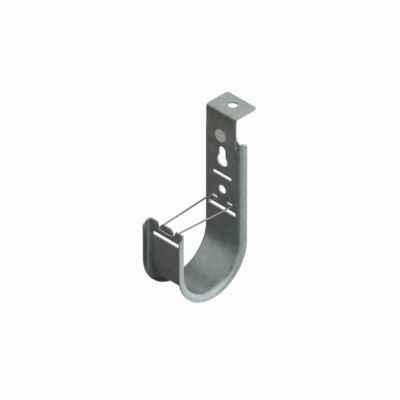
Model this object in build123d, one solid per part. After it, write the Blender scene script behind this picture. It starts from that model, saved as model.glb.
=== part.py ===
"""A 2 in J hook that hangs cable bundles from a ceiling: a flanged sheet hook, the angle
bracket riveted to its back web, and the wire retainer that closes its mouth.

Millimetres, +Z up. The origin is the centre of the ceiling hole, on the tab's top face.
+X runs along the hook's width, and -Y points from the back web to the lip.
"""

from build123d import *
from math import copysign, cos, radians, sqrt, tan
import os

# Angle bracket: a leg in front of the hook's web, and a tab that goes back over it.
bracket_width = 28.4
bracket_sheet = 1.2
bracket_bend = 1.2  # inside radius
bracket_corner = 2.0
leg_length = 25.4  # from the tab's top face down
tab_depth = 20.6  # from the leg's front face back
tab_hole = 6.8
tab_hole_setback = 11.6  # from the leg's front face back

# Hook sheet: one section, web between two flanges that turn away from the cables.
hook_sheet = 1.2
hook_inside = 52.4  # clear span from web to lip, and the cradle's diameter
hook_width = 35.7  # over the two flanges
flange_depth = 6.3  # from the cable side of the web to the flange's edge
flange_bend = 3.9  # radius on the cable side
cradle_drop = 101.6  # tab's top face down to the cradle's centre

# Top of the web: shoulders slope from a narrow top edge out to the flanges.
web_top_drop = 12.7
web_top_width = 22.0
web_top_round = 3.0
shoulder_inset = 1.4  # from each side of the hook to the foot of its shoulder
flange_top_drop = 20.9  # the foot of the shoulder, where the flange's end slopes away
flange_end_drop = 22.6  # the end of that slope, at the flange's edge

# Holes down the web, each by its drop below the tab's top face.
keyhole_neck = 6.4
keyhole_neck_drop = 33.0
keyhole_head = 9.6
keyhole_head_drop = 41.2
upper_slot = (17.4, 3.0)
upper_slot_drop = 53.4
wall_hole = 6.8
wall_hole_drop = 65.2
lower_slot_height = 3.5
lower_slot_margin = 1.05  # from each end of the slot to the flange's bend
lower_slot_drop = 80.7
slot_corner = 0.8

# Lip: two outer lobes and a middle tab, with a notch for the wire on each side of it.
lip_top_drop = 70.0
lip_flange_end_drop = 74.0
middle_tab_round = 2.2
lobe_round = 1.2

# Wire retainer: a spring wire bail. Its legs pass through two slots in the web.
wire = 1.3
wire_drop = 74.0
wire_front_half = 7.0  # centreline of a leg where it meets the crossbar
wire_corner = 1.9  # bend radius on the centreline, at the crossbar
foot_bend = 1.5  # bend radius on the centreline, behind the web
foot_reach = 3.1  # from the leg's centreline out to the foot's end
wire_lift = 18  # degrees that the bail swings up from the notches
wire_slot_length = 7.1

# Rivet through the leg and the web.
rivet_end = 5.7  # from the rivet's axis down to the end of the leg
rivet_shank = 4.8
rivet_head = 9.6
rivet_head_height = 1.2
rivet_head_bevel = 0.4
rivet_tail = 7.2
rivet_tail_height = 1.8
rivet_tail_bevel = 0.5
rivet_bore = 3.0  # of the hollow end that is rolled out to make the tail
rivet_bore_depth = 2.4
rivet_mouth = 4.4  # where the rolled rim opens
rivet_mouth_depth = 0.6

# Clearances.
rivet_clearance = 0.05  # radial, in its holes
wire_side_clearance = 0.45  # leg to the outer end of its slot
wire_tilt_clearance = 0.1  # leg to its slot's upper and lower edges at full lift
wire_notch_clearance = 0.2  # leg to the bottom of its notch
wire_notch_side = 0.55  # leg to each side of its notch
wire_face_clearance = 0.35  # crossbar to the lip, and foot to the back of the web
foot_clearance = 0.55  # foot's end to the flange's bend
round_clearance = 0.05  # what a round end falls short of a full half circle

# Places that follow from the sizes above.
leg_front_y = -tab_hole_setback
web_face_y = leg_front_y + bracket_sheet
web_back_y = web_face_y + hook_sheet
bend_centre_y = web_face_y + flange_bend
shoulder_reach = flange_bend - shoulder_inset  # from the bend's centre out to the shoulder
shoulder_back_y = bend_centre_y - sqrt(max(0, (flange_bend - hook_sheet) ** 2 - shoulder_reach**2))
cradle_y = web_face_y - hook_inside / 2
lip_face_y = web_face_y - hook_inside
lip_outer_y = lip_face_y - hook_sheet
flat_half = hook_width / 2 - flange_bend  # half of the flat between the flanges' bends
rivet_drop = leg_length - rivet_end
foot_end = flat_half - foot_clearance
wire_back_half = foot_end - foot_reach  # centreline of a leg in its slot
wire_slot_height = hook_sheet * tan(radians(wire_lift)) + wire / cos(radians(wire_lift))
wire_slot_height += 2 * wire_tilt_clearance
wire_slot_outer = wire_back_half + wire / 2 + wire_side_clearance
notch_width = wire + 2 * wire_notch_side
notch_floor_drop = wire_drop + wire / 2 + wire_notch_clearance
crossbar_y = lip_outer_y - wire_face_clearance - wire / 2
foot_y = web_back_y + wire_face_clearance + wire / 2
past = 1.0  # how far a cutter runs past the faces that it opens
near = 0.01  # how near a corner lies to the place that it is looked up by


def facing(y):
    """A sketch plane at this Y that is drawn as seen from the front: X right, Z up."""
    return Plane(origin=(0, y, 0), x_dir=(1, 0, 0), z_dir=(0, -1, 0))


def through(sketch, y_front, y_back):
    """The solid that a front-view sketch sweeps between two Y places."""
    return extrude(facing(y_front) * sketch, -(y_back - y_front))


def angle_bracket():
    """Leg and tab folded from one strip, with the ceiling hole in the tab."""
    with BuildPart() as bracket:
        with BuildSketch(Plane.YZ.offset(-bracket_width / 2)):
            with BuildLine():
                FilletPolyline(
                    (leg_front_y, -leg_length),
                    (leg_front_y, 0),
                    (leg_front_y + tab_depth, 0),
                    radius=bracket_bend + bracket_sheet,
                )
                offset(amount=bracket_sheet, side=Side.RIGHT)
            make_face()
        extrude(amount=bracket_width)
        rear = bracket.edges().filter_by(Axis.Z).group_by(Axis.Y)[-1]
        fillet(rear, bracket_corner)
    solid = bracket.part
    solid -= Cylinder(tab_hole / 2, 2 * (bracket_sheet + past))
    return solid - through(Pos(0, -rivet_drop) * rivet_hole(), leg_front_y - past, web_face_y + past)


def rivet_hole():
    return Circle(rivet_shank / 2 + rivet_clearance)


def hook_section():
    """The folded section at the foot of the web: X across, +Y away from the cables."""
    half = hook_width / 2
    with BuildSketch() as section:
        with BuildLine():
            FilletPolyline(
                (-half, flange_depth), (-half, 0), (half, 0), (half, flange_depth),
                radius=flange_bend,
            )
            offset(amount=hook_sheet, side=Side.LEFT)
        make_face()
    return section.sketch


def slot(length, height):
    """A strap slot, with the small corners of its punch."""
    return RectangleRounded(length, height, slot_corner)


def lower_slot():
    """The slot that web and lip both have, as wide as the flat between the bends allows."""
    return Pos(0, -lower_slot_drop) * slot(2 * (flat_half - lower_slot_margin), lower_slot_height)


def keyhole():
    """A round head for the screw's head to pass, and a neck above it for the shank."""
    length = keyhole_head_drop - keyhole_neck_drop
    neck = Pos(0, length / 2) * Rectangle(keyhole_neck, length)
    return Circle(keyhole_head / 2) + neck + Pos(0, length) * Circle(keyhole_neck / 2)


def wire_slots():
    """The two slots that the retainer's legs pass through."""
    middle = wire_slot_outer - wire_slot_length / 2
    end_radius = wire_slot_height / 2 - round_clearance
    one = RectangleRounded(wire_slot_length, wire_slot_height, end_radius)
    return Pos(-middle, 0) * one + Pos(middle, 0) * one


def web_holes():
    holes = Pos(0, -rivet_drop) * rivet_hole()
    holes += Pos(0, -keyhole_head_drop) * keyhole()
    holes += Pos(0, -upper_slot_drop) * slot(*upper_slot)
    holes += Pos(0, -wall_hole_drop) * Circle(wall_hole / 2)
    holes += Pos(0, -wire_drop) * wire_slots()
    return holes + lower_slot()


def corners_at(outline, x, y):
    """The outline's corners at this height and this far to the left and right."""
    return outline.vertices().filter_by(
        lambda v: abs(abs(v.X) - x) < near and abs(v.Y - y) < near
    )


def web_waste():
    """What the sloping shoulders leave off the top of the web, drawn from the front."""
    top = -web_top_drop
    low = -flange_top_drop
    side = hook_width / 2 + past
    shoulder = hook_width / 2 - shoulder_inset
    keep = make_face(
        Polyline(
            (-side, low), (-shoulder, low), (-web_top_width / 2, top),
            (web_top_width / 2, top), (shoulder, low), (side, low),
            (side, low - past), (-side, low - past), close=True,
        )
    )
    keep = fillet(corners_at(keep, web_top_width / 2, top), web_top_round)
    sheared = Pos(0, low) * Rectangle(2 * side, top - low + past, align=(Align.CENTER, Align.MIN))
    return sheared - keep


def lip_waste():
    """What is off the top of the lip, drawn from the front: it leaves lobes and middle tab."""
    side = hook_width / 2 + past
    top = -lip_top_drop
    floor = -notch_floor_drop
    inner = wire_front_half - notch_width / 2
    outer = wire_front_half + notch_width / 2
    keep = make_face(
        Polyline(
            (-side, top), (-outer, top), (-outer, floor), (-inner, floor), (-inner, top),
            (inner, top), (inner, floor), (outer, floor), (outer, top), (side, top),
            (side, floor - past), (-side, floor - past), close=True,
        )
    )
    keep = fillet(corners_at(keep, inner, top), middle_tab_round)
    keep = fillet(corners_at(keep, outer, top), lobe_round)
    notch_corners = corners_at(keep, inner, floor) + corners_at(keep, outer, floor)
    keep = fillet(notch_corners, notch_width / 2 - round_clearance)
    sheared = Pos(0, floor) * Rectangle(2 * side, top - floor + past, align=(Align.CENTER, Align.MIN))
    return sheared - keep


def flange_end_waste(root_y, root_drop, edge_y, edge_drop):
    """What slopes the tops of two flanges from their roots down to their edges, side view."""
    beyond = edge_y + copysign(past, edge_y - root_y)
    slope = Polyline(
        (root_y, -root_drop), (edge_y, -edge_drop), (beyond, -edge_drop),
        (beyond, past - root_drop), (root_y, past - root_drop), close=True,
    )
    return extrude(Plane.YZ * make_face(slope), hook_width / 2 + past, both=True)


def hook():
    """Web, cradle and lip, all with the one section, then what is punched and cut from them."""
    section = Pos(0, web_face_y, -cradle_drop) * hook_section()
    web = extrude(section, cradle_drop - web_top_drop)
    axis = Axis((0, cradle_y, -cradle_drop), (1, 0, 0))
    cradle = revolve(section, axis, -180)
    lip_section = Pos(0, lip_face_y, -cradle_drop) * mirror(hook_section(), Plane.XZ)
    lip = extrude(lip_section, cradle_drop - lip_top_drop)
    solid = web + cradle + lip
    flange_y = web_face_y + flange_depth + past
    solid -= through(web_waste(), web_face_y - past, flange_y)
    solid -= through(web_holes(), web_face_y - past, web_back_y + past)
    solid -= through(lip_waste(), lip_face_y - flange_depth - past, lip_face_y + past)
    web_edge_y = web_face_y + flange_depth
    lip_edge_y = lip_face_y - flange_depth
    solid -= flange_end_waste(shoulder_back_y, flange_top_drop, web_edge_y, flange_end_drop)
    solid -= flange_end_waste(lip_outer_y, lip_top_drop, lip_edge_y, lip_flange_end_drop)
    return solid - through(lower_slot(), lip_outer_y - past, lip_face_y + past)


def wire_retainer():
    """The bail: feet behind the web, legs that draw together to the lip, and a crossbar."""
    z = -wire_drop
    bends = [foot_bend, wire_corner, wire_corner, foot_bend]
    with BuildPart() as bail:
        with BuildLine():
            path = FilletPolyline(
                (-foot_end, foot_y, z),
                (-wire_back_half, foot_y, z),
                (-wire_front_half, crossbar_y, z),
                (wire_front_half, crossbar_y, z),
                (wire_back_half, foot_y, z),
                (foot_end, foot_y, z),
                radius=bends,
            )
        with BuildSketch(Plane(origin=path @ 0, z_dir=path % 0)):
            Circle(wire / 2)
        sweep()
    return bail.part


def rivet():
    """A low head on the leg, the shank, and the hollow tail rolled out behind the web."""
    tail_y = web_back_y + rivet_tail_height
    head_y = leg_front_y - rivet_head_height
    half = Polyline(
        (0, head_y), (rivet_head / 2 - rivet_head_bevel, head_y),
        (rivet_head / 2, head_y + rivet_head_bevel), (rivet_head / 2, leg_front_y),
        (rivet_shank / 2, leg_front_y), (rivet_shank / 2, web_back_y), (rivet_tail / 2, web_back_y),
        (rivet_tail / 2, tail_y - rivet_tail_bevel), (rivet_tail / 2 - rivet_tail_bevel, tail_y),
        (rivet_mouth / 2, tail_y), (rivet_bore / 2, tail_y - rivet_mouth_depth),
        (rivet_bore / 2, tail_y - rivet_bore_depth), (0, tail_y - rivet_bore_depth), close=True,
    )
    return Pos(0, 0, -rivet_drop) * revolve(make_face(half), Axis.Y)


os.makedirs("parts", exist_ok=True)
for name, make in (
    ("hook", hook),
    ("angle_bracket", angle_bracket),
    ("rivet", rivet),
    ("wire_retainer", wire_retainer),
):
    export_step(make(), f"parts/{name}.step")
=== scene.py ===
import math

import bmesh
import bpy
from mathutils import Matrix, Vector
from mathutils.bvhtree import BVHTree


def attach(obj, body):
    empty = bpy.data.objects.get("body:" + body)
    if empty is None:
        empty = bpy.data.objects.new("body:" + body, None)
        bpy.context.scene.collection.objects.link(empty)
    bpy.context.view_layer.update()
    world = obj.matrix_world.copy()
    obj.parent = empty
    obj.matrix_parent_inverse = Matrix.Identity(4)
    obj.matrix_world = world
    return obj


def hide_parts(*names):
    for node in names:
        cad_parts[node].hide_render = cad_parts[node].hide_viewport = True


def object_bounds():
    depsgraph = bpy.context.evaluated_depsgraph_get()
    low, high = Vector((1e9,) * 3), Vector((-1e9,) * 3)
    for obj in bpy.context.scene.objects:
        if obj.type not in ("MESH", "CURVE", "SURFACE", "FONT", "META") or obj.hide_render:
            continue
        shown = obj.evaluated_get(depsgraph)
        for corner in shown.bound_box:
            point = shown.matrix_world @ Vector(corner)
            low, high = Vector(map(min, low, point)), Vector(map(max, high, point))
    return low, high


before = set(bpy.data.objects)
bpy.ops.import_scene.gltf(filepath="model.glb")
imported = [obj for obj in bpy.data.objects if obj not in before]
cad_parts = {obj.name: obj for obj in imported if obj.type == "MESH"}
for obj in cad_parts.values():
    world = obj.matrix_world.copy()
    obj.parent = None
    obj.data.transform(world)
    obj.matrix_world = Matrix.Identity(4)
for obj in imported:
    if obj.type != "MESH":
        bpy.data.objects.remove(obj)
cad_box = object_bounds()
bpy.ops.object.select_all(action="DESELECT")

# ---------------------------------------------------------------------------------------------
# Hook. One strip of galvanised steel, roll formed with a flange down each side, punched, and
# curled to a J. The zinc lies on both faces of the strip; its sheared edges are bare steel.
# Its edges are broken as a shear and a tumbler leave them.

# Sizes are in metres, and those of patterns in millimetres.
hook_sheet = 0.0012
weld_distance = 0.000005


def merged_copy(node, name):
    """A CAD node's mesh as a new piece, left selected, with its loose triangles merged."""
    piece = bpy.data.objects.new(name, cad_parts[node].data.copy())
    piece.data.materials.clear()
    bpy.context.scene.collection.objects.link(piece)
    bpy.context.view_layer.objects.active = piece
    piece.select_set(True)
    bpy.ops.mesh.customdata_custom_splitnormals_clear()
    bpy.ops.object.mode_set(mode="EDIT")
    bpy.ops.mesh.select_all(action="SELECT")
    bpy.ops.mesh.mark_sharp(clear=True)
    bpy.ops.mesh.remove_doubles(threshold=weld_distance)
    bpy.ops.object.mode_set(mode="OBJECT")
    return piece


hook = merged_copy("hook", "formed_hook")


def linear(hex_colour):
    """The linear colour that an sRGB hex value stands for, with full alpha."""
    channels = [int(hex_colour[i : i + 2], 16) / 255 for i in (1, 3, 5)]
    return [c / 12.92 if c <= 0.04045 else ((c + 0.055) / 1.055) ** 2.4 for c in channels] + [1]


def add_node(owner, kind, inputs=None, **settings):
    """Adds a node with these settings to a material or world, and returns it.

    The inputs go by their identifiers. Each is linked if it is given a socket, and else set.
    """
    tree = owner.node_tree
    node = tree.nodes.new("ShaderNode" + kind)
    for name, value in settings.items():
        setattr(node, name, value)
    for socket in node.inputs:
        if inputs and socket.identifier in inputs:
            value = inputs[socket.identifier]
            if isinstance(value, bpy.types.NodeSocket):
                tree.links.new(value, socket)
            else:
                socket.default_value = value
    return node


def set_stops(ramp, stops):
    """Gives a colour ramp these stops, each a place and an sRGB hex colour."""
    elements = ramp.color_ramp.elements
    while len(elements) < len(stops):
        elements.new(1)
    for element, (place, colour) in zip(elements, stops):
        element.position = place
        element.color = linear(colour)


def start_material(name):
    """A node material with nothing in it yet."""
    material = bpy.data.materials.new(name)
    material.use_nodes = True
    material.node_tree.nodes.clear()
    return material


def pattern_scale(millimetres):
    """The texture scale that draws a pattern's marks this many millimetres across."""
    return 1000 / millimetres


def finish_metal(material, colour, roughness, height, strength, depth):
    """Ends a metal's nodes: its colour, how rough it is, and how deep its marks go."""
    bump = add_node(
        material, "Bump", {"Height": height, "Strength": strength, "Distance": depth}
    ).outputs["Normal"]
    shader = add_node(
        material, "BsdfPrincipled",
        {"Base Color": colour, "Metallic": 1, "Roughness": roughness, "Normal": bump},
    )
    add_node(material, "OutputMaterial", {"Surface": shader.outputs["BSDF"]})
    return material


# Hot-dip galvanised sheet, skin passed between rolls: a matt grey metal. Its zinc crystals, the
# spangle, each return a little more or less light than their neighbours, under a cloudy bloom
# of oxide and faint streaks along the strip. Spangle, streaks and grit are drawn two to five
# times as coarse as those of a fine real sheet, which would be too small to show.
zinc_dark = "#889290"
zinc_mid = "#929c9a"
zinc_light = "#9ca6a4"
zinc_roughness = (0.40, 0.52)
spangle_mm = 1.92
bloom_mm = 11.1
bloom_share = 0.6
streak_mm = 0.91
streak_stretch = 50
streak_share = 0.3
grit_mm = 0.556
grit_depth = 0.00004
grit_strength = 0.25

# Most of a noise's values lie between these two.
noise_low = 0.3
noise_high = 0.7


def galvanised(name, dark, mid, light):
    """Galvanised sheet in these dark, mid and light tones."""
    material = start_material(name)
    place = add_node(material, "TexCoord").outputs["Object"]
    crystal = add_node(
        material, "TexVoronoi", {"Vector": place, "Scale": pattern_scale(spangle_mm)}
    ).outputs["Color"]
    spangle = add_node(material, "SeparateColor", {"Color": crystal}).outputs["Red"]
    bloom = add_node(
        material, "TexNoise", {"Vector": place, "Scale": pattern_scale(bloom_mm), "Detail": 5}
    ).outputs["Fac"]
    along = add_node(
        material, "Mapping",
        {"Vector": place, "Scale": (1, 1 / streak_stretch, 1 / streak_stretch)},
    ).outputs["Vector"]
    streak = add_node(
        material, "TexNoise", {"Vector": along, "Scale": pattern_scale(streak_mm), "Detail": 2}
    ).outputs["Fac"]
    cloudy = add_node(
        material, "Mix", {"Factor_Float": bloom_share, "A_Float": spangle, "B_Float": bloom}
    ).outputs["Result"]
    zinc = add_node(
        material, "Mix", {"Factor_Float": streak_share, "A_Float": cloudy, "B_Float": streak}
    ).outputs["Result"]
    colour = add_node(material, "ValToRGB", {"Fac": zinc})
    noise_middle = (noise_low + noise_high) / 2
    set_stops(colour, [(noise_low, dark), (noise_middle, mid), (noise_high, light)])
    roughness = add_node(
        material, "MapRange",
        {"Value": zinc, "From Min": noise_low, "From Max": noise_high,
         "To Min": zinc_roughness[0], "To Max": zinc_roughness[1]},
    ).outputs["Result"]
    grit = add_node(
        material, "TexNoise", {"Vector": place, "Scale": pattern_scale(grit_mm), "Detail": 3}
    ).outputs["Fac"]
    return finish_metal(
        material, colour.outputs["Color"], roughness, grit, grit_strength, grit_depth
    )


# Sheared steel: a bright burnished band that runs out into a duller, torn one, so the edge
# goes from light to dark along its length and is a little rough. The same tooled finish, in
# other tones, stands for a pressed rivet and a drawn wire. Real tool marks are some tenths of
# a millimetre long, and these are drawn coarser, so that they show.
sheared_dark = "#8c908e"
sheared_light = "#b0b4b1"
sheared_roughness = 0.5
tool_mark_mm = 1.11
tool_mark_depth = 0.00005
tool_mark_strength = 0.4


def tooled(name, dark, light, roughness):
    """Bare metal with the uneven marks of the tool that sheared, pressed or drew it."""
    material = start_material(name)
    place = add_node(material, "TexCoord").outputs["Object"]
    mark = add_node(
        material, "TexNoise",
        {"Vector": place, "Scale": pattern_scale(tool_mark_mm), "Detail": 4},
    ).outputs["Fac"]
    colour = add_node(material, "ValToRGB", {"Fac": mark})
    set_stops(colour, [(noise_low, dark), (noise_high, light)])
    return finish_metal(
        material, colour.outputs["Color"], roughness, mark, tool_mark_strength, tool_mark_depth
    )


hook_zinc = galvanised("galvanised hook strip", zinc_dark, zinc_mid, zinc_light)
sheared_edge = tooled("sheared steel edge", sheared_dark, sheared_light, sheared_roughness)
hook.data.materials.append(hook_zinc)
hook.data.materials.append(sheared_edge)

# Slot 0 is the strip's two faces, and slot 1 is the cut all round them. A face of the strip
# has the other one about a sheet's thickness behind it, and nearly parallel to it.
most_sheets_deep = 1.2
least_parallel = 0.95


def mark_sheared_faces(piece, sheet):
    """Gives slot 1 to each face that hasn't the sheet's other face straight behind it."""
    mesh = bmesh.new()
    mesh.from_mesh(piece.data)
    tree = BVHTree.FromBMesh(mesh)
    for face in mesh.faces:
        inward = -face.normal
        start = face.calc_center_median() + inward * weld_distance
        _, far_normal, _, depth = tree.ray_cast(start, inward)
        near = depth is not None and depth < most_sheets_deep * sheet
        backed = near and far_normal.dot(inward) > least_parallel
        face.material_index = int(not backed)
    mesh.to_mesh(piece.data)
    mesh.free()


mark_sheared_faces(hook, hook_sheet)

flat_angle = math.radians(0.5)


def join_flat_faces():
    """Joins the selected piece's flat faces, and leaves it in edit mode."""
    bpy.ops.object.mode_set(mode="EDIT")
    bpy.ops.mesh.select_all(action="SELECT")
    bpy.ops.mesh.dissolve_limited(angle_limit=flat_angle, delimit={"MATERIAL"})


# The rolls turned the outer corners of the web flanges' upper ends over. Each such corner is
# where the end's cut, which slopes a little, meets the outside of the flange. The slope is how
# far up the cut faces, and the outside faces at least so far outwards.
hook_half = 0.01785
flange_end_high = -0.0205
flange_end_low = -0.0230
flange_end_slope = (0.8, 0.99)
least_outward = 0.3
flange_end_round = 0.0011
flange_end_steps = 5


def at_flange_end(edge):
    """Whether an edge lies between a flange end's sloping cut and the flange's outside."""
    in_reach = all(flange_end_low < v.co.z < flange_end_high for v in edge.verts)
    side = edge.verts[0].co.x
    cut = any(
        f.material_index == 1 and flange_end_slope[0] < f.normal.z < flange_end_slope[1]
        for f in edge.link_faces
    )
    outer = any(
        f.material_index == 0 and f.normal.x * side > least_outward * hook_half
        for f in edge.link_faces
    )
    return in_reach and cut and outer


join_flat_faces()
bpy.ops.mesh.select_mode(type="EDGE")
bpy.ops.mesh.select_all(action="DESELECT")
hook_mesh = bmesh.from_edit_mesh(hook.data)
for hook_edge in hook_mesh.edges:
    hook_edge.select_set(at_flange_end(hook_edge))
bmesh.update_edit_mesh(hook.data)
bpy.ops.mesh.bevel(offset=flange_end_round, segments=flange_end_steps, affect="EDGES")
bpy.ops.object.mode_set(mode="OBJECT")

broken_edge = 0.00012
broken_edge_steps = 2
crease_angle = math.radians(30)
smooth_angle = math.radians(50)


def break_edges(piece):
    """Rounds the selected piece's sharp edges, shades it smooth, and lets go of it."""
    join_flat_faces()
    bpy.ops.object.mode_set(mode="OBJECT")
    bevel = piece.modifiers.new("broken edge", "BEVEL")
    bevel.width = broken_edge
    bevel.segments = broken_edge_steps
    bevel.limit_method = "ANGLE"
    bevel.angle_limit = crease_angle
    bpy.ops.object.modifier_apply(modifier=bevel.name)
    bpy.ops.object.shade_smooth_by_angle(angle=smooth_angle)
    weigh = piece.modifiers.new("flat faces lead", "WEIGHTED_NORMAL")
    weigh.keep_sharp = True
    bpy.ops.object.modifier_apply(modifier=weigh.name)
    piece.select_set(False)


break_edges(hook)
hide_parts("hook")
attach(hook, "support")

# ---------------------------------------------------------------------------------------------
# Angle bracket. Cut from galvanised sheet and folded once, so that its tab lies against the ceiling
# and its leg lies on the hook's web. Its zinc is drawn a little lighter than the hook's as painted
# light for the tab's top, which faces up to the light.

bracket_sheet = 0.0012
# The hook's zinc tones painted a little lighter: painted light for the bracket tab's top.
bracket_dark = "#949d97"
bracket_mid = "#9ea7a1"
bracket_light = "#a8b1ab"

bracket = merged_copy("angle_bracket", "folded_bracket")
bracket_zinc = galvanised("galvanised bracket strip", bracket_dark, bracket_mid, bracket_light)
bracket.data.materials.append(bracket_zinc)
bracket.data.materials.append(sheared_edge)
mark_sheared_faces(bracket, bracket_sheet)
break_edges(bracket)
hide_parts("angle_bracket")
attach(bracket, "support")

# ---------------------------------------------------------------------------------------------
# Rivet. A low-headed aluminium rivet through the bracket's leg and the hook's web, with its
# tail set flat behind the web. Satin aluminium is pale, and the setting tool's marks leave it
# so dull that it mirrors nothing clearly.

rivet_dark = "#d8dad7"
rivet_light = "#e8eae7"
rivet_roughness = 0.95

rivet = merged_copy("rivet", "set_rivet")
rivet_metal = tooled("satin aluminium rivet", rivet_dark, rivet_light, rivet_roughness)
rivet.data.materials.append(rivet_metal)
break_edges(rivet)
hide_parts("rivet")
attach(rivet, "support")

# ---------------------------------------------------------------------------------------------
# Wire retainer. Hard drawn spring wire, bright zinc plated after bending, so that it is a
# smooth grey metal with a die's faint marks. It is sprung into two slots in the web and drops
# into the notches of the lip.

wire_dark = "#8b8c8a"
wire_light = "#9d9e9c"
wire_roughness = 0.5

wire = merged_copy("wire_retainer", "sprung_bail")
wire_zinc = tooled("bright zinc plated wire", wire_dark, wire_light, wire_roughness)
wire.data.materials.append(wire_zinc)
break_edges(wire)
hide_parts("wire_retainer")
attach(wire, "retainer")

# ---------------------------------------------------------------------------------------------
# Studio. The part hangs, so its pale floor is well below it. The studio is white all round to
# the eye and to the metal, and is a plain grey light to everything else. The floor keeps a
# little of its own matt paint, which takes the shadows.

plain_light = "#cccccc"
studio_white = "#ffffff"
floor_white = "#f4f4f4"
floor_white_share = 0.95
floor_below = 2.5
floor_size = 30


def seen_or_mirrored(owner):
    """1 where a ray comes from the camera, or from a gloss or a clear piece that shows it."""
    path = add_node(owner, "LightPath")
    total = add_node(
        owner, "Math",
        {"Value": path.outputs["Is Camera Ray"], "Value_001": path.outputs["Is Glossy Ray"]},
        operation="MAXIMUM",
    ).outputs["Value"]
    return add_node(
        owner, "Math", {"Value": total, "Value_001": path.outputs["Is Transmission Ray"]},
        operation="MAXIMUM",
    ).outputs["Value"]


world = bpy.data.worlds.new("white studio")
world.use_nodes = True
world.node_tree.nodes.clear()
fill = add_node(world, "Background", {"Color": linear(plain_light)})
white = add_node(world, "Background", {"Color": linear(studio_white)})
surroundings = add_node(
    world, "MixShader",
    {"Fac": seen_or_mirrored(world), "Shader": fill.outputs["Background"],
     "Shader_001": white.outputs["Background"]},
)
add_node(world, "OutputWorld", {"Surface": surroundings.outputs["Shader"]})
bpy.context.scene.world = world

floor_z = cad_box[0].z - floor_below
bpy.ops.mesh.primitive_plane_add(size=floor_size, location=(0, 0, floor_z))
floor = bpy.context.object
floor.name = "studio_floor"
floor_paint = start_material("pale floor paint")
matt = add_node(floor_paint, "BsdfDiffuse", {"Color": linear(floor_white)})
glow = add_node(floor_paint, "Emission", {"Color": linear(studio_white)})
share = add_node(
    floor_paint, "Math",
    {"Value": seen_or_mirrored(floor_paint), "Value_001": floor_white_share},
    operation="MULTIPLY",
).outputs["Value"]
floor_mix = add_node(
    floor_paint, "MixShader",
    {"Fac": share, "Shader": matt.outputs["BSDF"], "Shader_001": glow.outputs["Emission"]},
)
add_node(floor_paint, "OutputMaterial", {"Surface": floor_mix.outputs["Shader"]})
floor.data.materials.append(floor_paint)

# ---------------------------------------------------------------------------------------------
# Cards. Bare metal takes its tones from what it mirrors, so painted cards stand round the part.
# Only the metal sees them: they throw no light and no shadow on matt things. A card's front is
# the side that sees its corners run anticlockwise.


def card_paint(name, colour, strength=1, front_only=False):
    """Paint that shows as this colour, however its card stands to the lamps."""
    paint = start_material(name)
    glow = add_node(paint, "Emission", {"Color": linear(colour), "Strength": strength})
    shown = glow.outputs["Emission"]
    if front_only:
        behind = add_node(paint, "NewGeometry").outputs["Backfacing"]
        clear = add_node(paint, "BsdfTransparent").outputs["BSDF"]
        shown = add_node(
            paint, "MixShader", {"Fac": behind, "Shader": shown, "Shader_001": clear}
        ).outputs["Shader"]
    add_node(paint, "OutputMaterial", {"Surface": shown})
    paint.cycles.emission_sampling = "NONE"
    return paint


def card(name, paint, corners):
    """A four-cornered card that only the metal sees."""
    bpy.ops.mesh.primitive_plane_add()
    piece = bpy.context.object
    piece.name = name
    for corner, place in zip((0, 1, 3, 2), corners):
        piece.data.vertices[corner].co = place
    piece.data.materials.append(paint)
    piece.visible_camera = False
    piece.visible_diffuse = False
    piece.visible_shadow = False
    piece.visible_transmission = False


# Greys. A card below, in two pieces, keeps all that faces the front grey: the web, the
# bracket's leg and the lip. It stops short at the right, where the right flange mirrors white.
# An upright one in front closes what lies beyond it, and one by the fold darkens the upper half
# of the bracket's leg.
grey_paint = card_paint("matt grey card", "#766f6e")
card("under_card_back", grey_paint, [
    (-0.45, 0.25, -0.165), (0.04, 0.03, -0.165), (0.04, -0.043, -0.165), (-0.45, -0.043, -0.165),
])
card("under_card_front", grey_paint, [
    (-0.45, -0.043, -0.165), (0.04, -0.043, -0.165), (0.325, -0.45, -0.165), (-0.45, -0.45, -0.165),
])
card("front_card", grey_paint, [
    (-0.9, -0.42, -0.45), (0.29, -0.42, -0.45), (0.29, -0.42, -0.14), (-0.9, -0.42, -0.14),
])
card("fold_card", grey_paint, [
    (-0.09, -0.06, -0.02), (0.0, -0.06, -0.02), (0.0, -0.06, 0.04), (-0.09, -0.06, 0.04),
])

# Pale grey at the left, in two pieces, for the cradle's floor, with a near white card under its
# slanting edge, which lightens the floor a little next to the rim.
pale_paint = card_paint("pale grey card", "#88827f")
card("left_card_near", pale_paint, [
    (-0.06, -0.03, -0.11), (-0.06, 0.024, -0.11), (-0.06, 0.030, -0.062), (-0.06, -0.03, -0.01),
])
card("left_card_far", pale_paint, [
    (-0.06, 0.030, -0.062), (-0.06, 0.08, -0.050), (-0.06, 0.08, -0.01), (-0.06, -0.03, -0.01),
])
card("left_low_card", card_paint("near white card", "#f0eae8", strength=1.5), [
    (-0.06, 0.024, -0.12), (-0.06, 0.09, -0.12), (-0.06, 0.08, -0.050), (-0.06, 0.030, -0.062),
])

# Darks. One stands under the channel of the lip, for the shade at the foot of its left flange.
# The other is on the camera's line of sight, which goes through it. The right flange's bend
# mirrors it as a dark line low round the cradle, and the rivet's bevel mirrors it too.
dark_paint = card_paint("dark grey card", "#343130")
card("channel_card", dark_paint, [
    (0.005, -0.060, -0.131), (0.005, -0.012, -0.131),
    (0.005, -0.012, -0.165), (0.005, -0.060, -0.165),
])
card("camera_card", dark_paint, [
    (0.292, -0.580, 0.133), (0.546, -0.326, 0.133), (0.400, -0.180, 0.427), (0.146, -0.434, 0.427),
])

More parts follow.
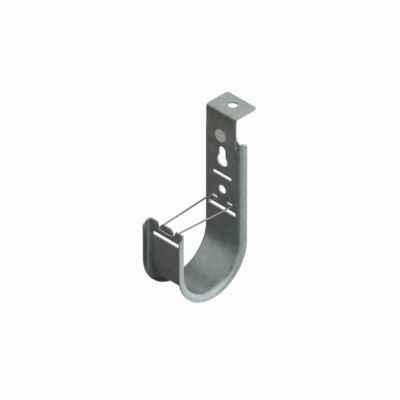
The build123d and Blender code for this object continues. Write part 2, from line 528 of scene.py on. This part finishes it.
# Lit cards. The one behind makes the bright line down the right flange's bend and the lip's
# edge, the low one lights the band that the flange makes round the cradle, and the small one
# outside the lip gives the lip's edges glints and lightens the web a little.
lit_paint = card_paint("lit white card", "#f6fcff", strength=2.35)
card("rear_card", lit_paint, [
    (-0.08, 0.41, -0.42), (0.24, 0.34, -0.42), (0.24, 0.34, 0.0), (-0.08, 0.41, 0.0),
])
card("low_card", lit_paint, [
    (0.0385, -0.0305, -0.108), (0.0510, -0.0430, -0.108),
    (0.0620, -0.0240, -0.185), (0.0400, -0.0010, -0.185),
])
card("lip_card", lit_paint, [
    (-0.0180, -0.0765, -0.0650), (-0.0110, -0.0835, -0.0650),
    (-0.0110, -0.0835, -0.0550), (-0.0180, -0.0765, -0.0550),
])

# A small and bright card close to the right flange's upper end makes the light cap on its
# rounded corner.
card("cap_card", card_paint("bright lit card", "#f6fcff", strength=4.5), [
    (0.0239, -0.0053, -0.0125), (0.0272, -0.0020, -0.0191),
    (0.0215, 0.0037, -0.0191), (0.0182, 0.0004, -0.0125),
])

# A white card stands on edge inside the cradle, just over its floor. It shows on its front
# side only, and lights the floor towards the lip.
cradle_paint = card_paint("white card, front side only", "#ffffff", strength=1.3, front_only=True)
card("cradle_card", cradle_paint, [
    (-0.017, -0.020, -0.1215), (0.007, -0.020, -0.1215),
    (0.007, -0.020, -0.1130), (-0.017, -0.020, -0.1130),
])

# A warm white far to the left lightens the back of the cradle and the lip a little.
card("warm_card", card_paint("warm white card", "#fff2f0", strength=1.18), [
    (-0.35, -0.55, -0.08), (-0.35, -0.12, -0.08), (-0.35, -0.12, 0.32), (-0.35, -0.55, 0.32),
])
bpy.ops.object.select_all(action="DESELECT")

# ---------------------------------------------------------------------------------------------
# Lamps. Two soft boxes with weak lamps, one to the right and one above, both a little behind
# the part, so that its rough metal is a shade lighter on that side.

middle = (cad_box[0] + cad_box[1]) / 2
box_size = 0.9
right_box_place = middle + Vector((0.9, 0.5, 0.5))
right_box_watts = 3
top_box_place = middle + Vector((0.3, 0.5, 1.1))
top_box_watts = 2


def soft_box(name, place, watts):
    """A square area lamp at a place, turned to the part's middle."""
    light = bpy.data.lights.new(name, "AREA")
    light.shape = "SQUARE"
    light.size = box_size
    light.energy = watts
    lamp = bpy.data.objects.new(name, light)
    bpy.context.scene.collection.objects.link(lamp)
    lamp.location = place
    lamp.rotation_euler = (place - middle).to_track_quat("Z", "Y").to_euler()


soft_box("right_soft_box", right_box_place, right_box_watts)
soft_box("top_soft_box", top_box_place, top_box_watts)

# ---------------------------------------------------------------------------------------------
# Camera. A level turn of 45 degrees and 35.26 degrees down, which shows the part's three sides
# alike, with so long a lens that its parallel edges stay parallel.

turn = math.radians(45)
down = math.radians(35.26)
aim = Vector((0.01057, -0.04225, -0.0528))
reach = 7.547
lens_mm = 1000
farthest_seen = 20

back = Vector((math.sin(turn) * math.cos(down), -math.cos(turn) * math.cos(down), math.sin(down)))
camera_data = bpy.data.cameras.new("camera")
camera_data.lens = lens_mm
camera_data.clip_end = farthest_seen
camera = bpy.data.objects.new("camera", camera_data)
bpy.context.scene.collection.objects.link(camera)
camera.location = aim + back * reach
camera.rotation_euler = back.to_track_quat("Z", "Y").to_euler()
bpy.context.scene.camera = camera
bpy.context.scene.view_settings.view_transform = "Standard"
